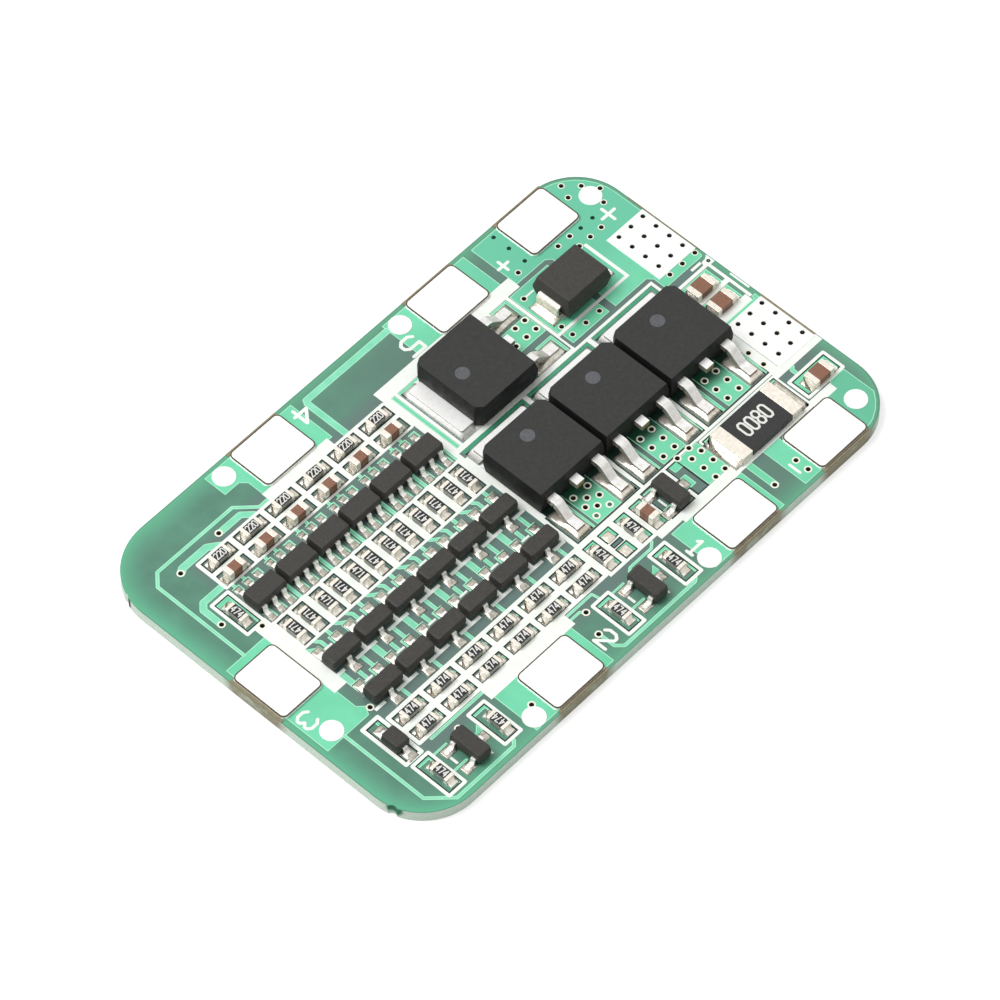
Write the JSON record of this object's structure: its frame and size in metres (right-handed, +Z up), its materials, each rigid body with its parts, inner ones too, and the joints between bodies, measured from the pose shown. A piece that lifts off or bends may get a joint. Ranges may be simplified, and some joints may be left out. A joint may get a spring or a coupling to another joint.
{
  "type": "battery management board",
  "caption": "Flat rounded circuit board for a battery pack, with solder tabs on its edges, power transistors, a shunt and rows of small surface-mounted parts on top.",
  "frame": {"origin": "middle of the board's underside", "axes": "+X along the board towards the two output lands, +Y across it towards the row with cell tabs 4 and 5, +Z up through the component side"},
  "size_m": [0.05, 0.0322, 0.0033],
  "materials": {
    "board_laminate": "green solder mask",
    "tinned_land": "bright tin",
    "nickel_tab": "bright nickel",
    "moulded_epoxy": "fine moulded",
    "power_epoxy": "fine moulded",
    "tinned_lead": "bright tin",
    "plated_drain": "bright tin",
    "resistor_glaze": "black glaze",
    "capacitor_ceramic": "brown ceramic",
    "tinned_terminal": "bright tin",
    "shunt_coat": "matte black coat"
  },
  "bodies": {
    "root": {"balance_transistor_bodies": "moulded_epoxy", "balance_transistor_leads": "tinned_lead", "cell_monitor_1_body": "moulded_epoxy", "cell_monitor_1_leads": "tinned_lead", "cell_monitor_2_body": "moulded_epoxy", "cell_monitor_2_leads": "tinned_lead", "cell_monitor_3_body": "moulded_epoxy", "cell_monitor_3_leads": "tinned_lead", "cell_monitor_4_body": "moulded_epoxy", "cell_monitor_4_leads": "tinned_lead", "cell_monitor_5_body": "moulded_epoxy", "cell_monitor_5_leads": "tinned_lead", "cell_monitor_6_body": "moulded_epoxy", "cell_monitor_6_leads": "tinned_lead", "cell_tab_1": "nickel_tab", "cell_tab_2": "nickel_tab", "cell_tab_3": "nickel_tab", "cell_tab_4": "nickel_tab", "cell_tab_5": "nickel_tab", "circuit_board": "board_laminate", "component_lands": "tinned_land", "control_resistor_bodies": "resistor_glaze", "control_resistor_terminals": "tinned_terminal", "divider_resistor_bodies": "resistor_glaze", "divider_resistor_terminals": "tinned_terminal", "driver_transistor_bodies": "moulded_epoxy", "driver_transistor_leads": "tinned_lead", "filter_capacitor_bodies": "capacitor_ceramic", "filter_capacitor_terminals": "tinned_terminal", "filter_resistor_bodies": "resistor_glaze", "filter_resistor_terminals": "tinned_terminal", "gate_resistor_bodies": "resistor_glaze", "gate_resistor_terminals": "tinned_terminal", "negative_tab": "nickel_tab", "output_capacitor_bodies": "capacitor_ceramic", "output_capacitor_terminals": "tinned_terminal", "output_land_negative": "tinned_land", "output_land_positive": "tinned_land", "positive_tab": "nickel_tab", "power_lands": "tinned_land", "power_transistor_1_body": "power_epoxy", "power_transistor_1_drain": "plated_drain", "power_transistor_1_leads": "tinned_lead", "power_transistor_2_body": "power_epoxy", "power_transistor_2_drain": "plated_drain", "power_transistor_2_leads": "tinned_lead", "power_transistor_3_body": "power_epoxy", "power_transistor_3_drain": "plated_drain", "power_transistor_3_leads": "tinned_lead", "power_transistor_4_body": "power_epoxy", "power_transistor_4_drain": "plated_drain", "power_transistor_4_leads": "tinned_lead", "probe_lands": "tinned_land", "shunt_body": "shunt_coat", "shunt_terminals": "tinned_terminal", "steering_diode_body": "moulded_epoxy", "steering_diode_leads": "tinned_lead", "surge_diode_body": "moulded_epoxy", "surge_diode_terminals": "tinned_terminal"}
  },
  "joints": []
}
